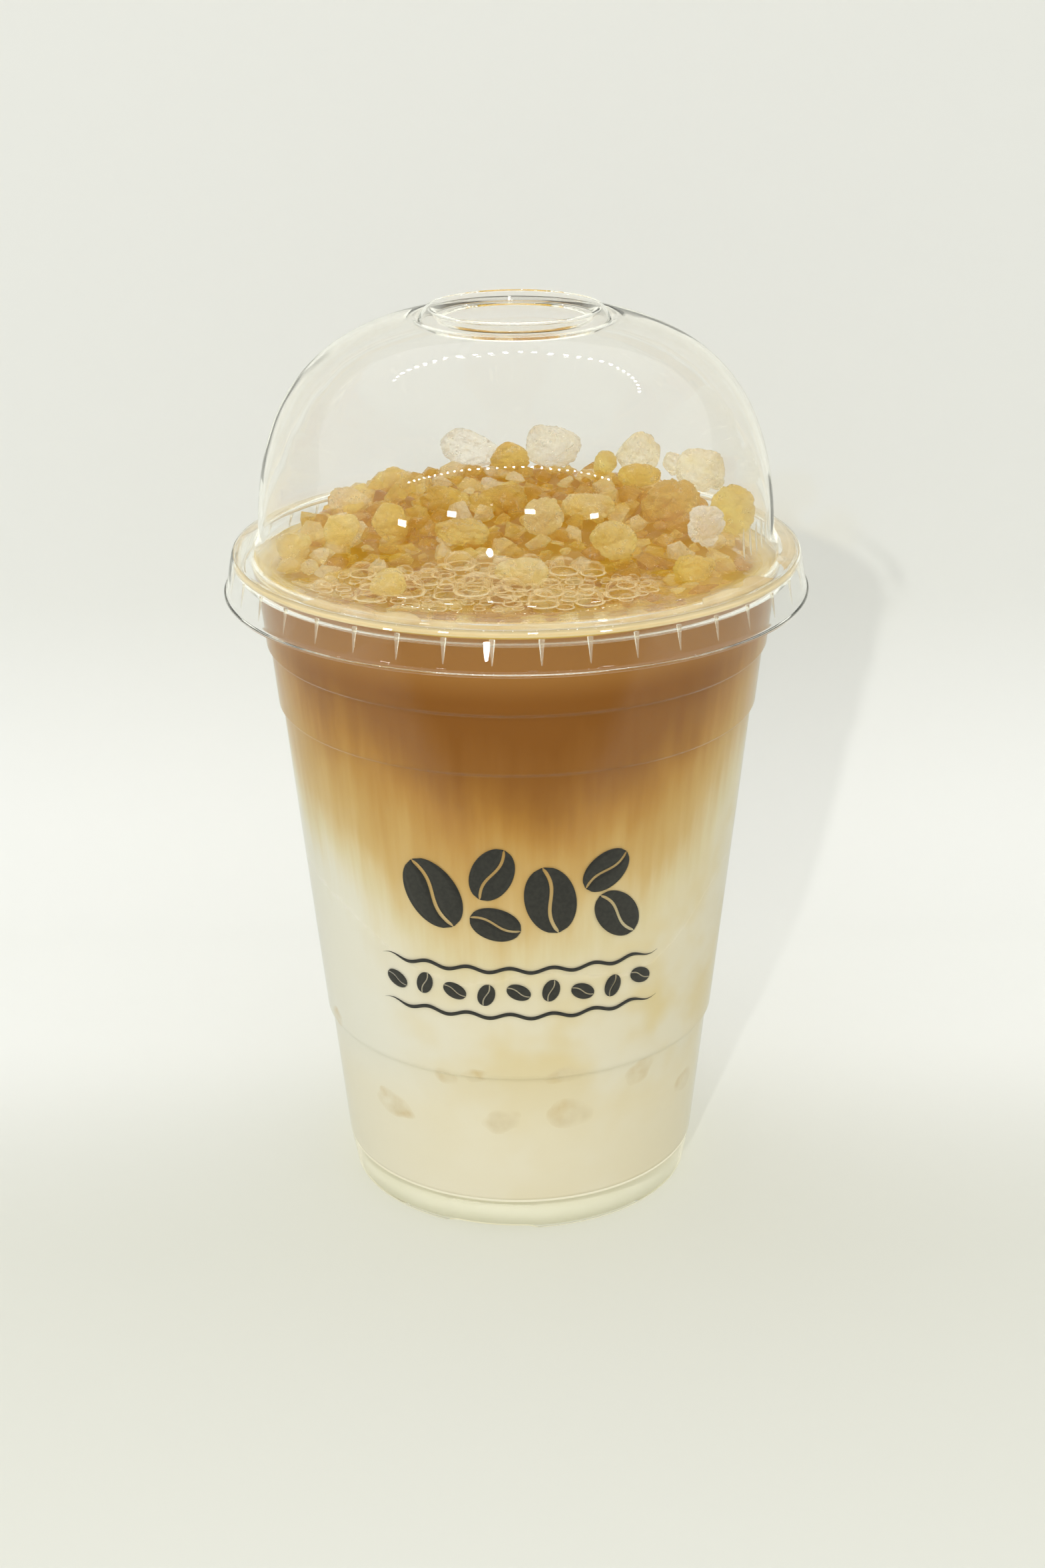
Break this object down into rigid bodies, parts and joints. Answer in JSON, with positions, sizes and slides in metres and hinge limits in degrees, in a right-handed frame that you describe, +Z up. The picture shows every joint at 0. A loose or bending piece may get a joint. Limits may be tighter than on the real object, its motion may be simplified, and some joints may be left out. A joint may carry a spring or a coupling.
{
  "type": "iced coffee in a clear cup with dome lid",
  "caption": "Iced milk coffee in a clear tapered takeaway cup with a domed, holed lid; coffee over milk, with crushed ice heaped under the dome.",
  "frame": {"origin": "on the table at the centre of the cup's base", "axes": "+Z up along the cup's axis, -Y towards the front, +X to the right seen from the front"},
  "size_m": [0.1024, 0.1024, 0.1613],
  "materials": {
    "cup_plastic": "clear, glossy",
    "lid_plastic": "clear, glossy",
    "coffee": "wet liquid",
    "milk": "opaque liquid",
    "ice": "wet, clear to cloudy"
  },
  "bodies": {
    "root": {"cup": "cup_plastic", "lid": "lid_plastic", "coffee": "coffee", "milk": "milk", "ice_heap": "ice", "ice_lump_01": "ice", "ice_lump_02": "ice", "ice_lump_03": "ice", "ice_lump_04": "ice", "ice_lump_05": "ice", "ice_lump_06": "ice", "ice_lump_07": "ice", "ice_lump_08": "ice", "ice_lump_09": "ice", "ice_lump_10": "ice", "ice_lump_11": "ice", "ice_lump_12": "ice", "ice_lump_13": "ice", "ice_lump_14": "ice", "ice_lump_15": "ice", "ice_lump_16": "ice", "ice_lump_17": "ice", "ice_lump_18": "ice", "ice_lump_19": "ice", "ice_lump_20": "ice", "ice_lump_21": "ice", "ice_lump_22": "ice", "ice_lump_23": "ice", "ice_lump_24": "ice", "ice_lump_25": "ice"}
  },
  "joints": []
}
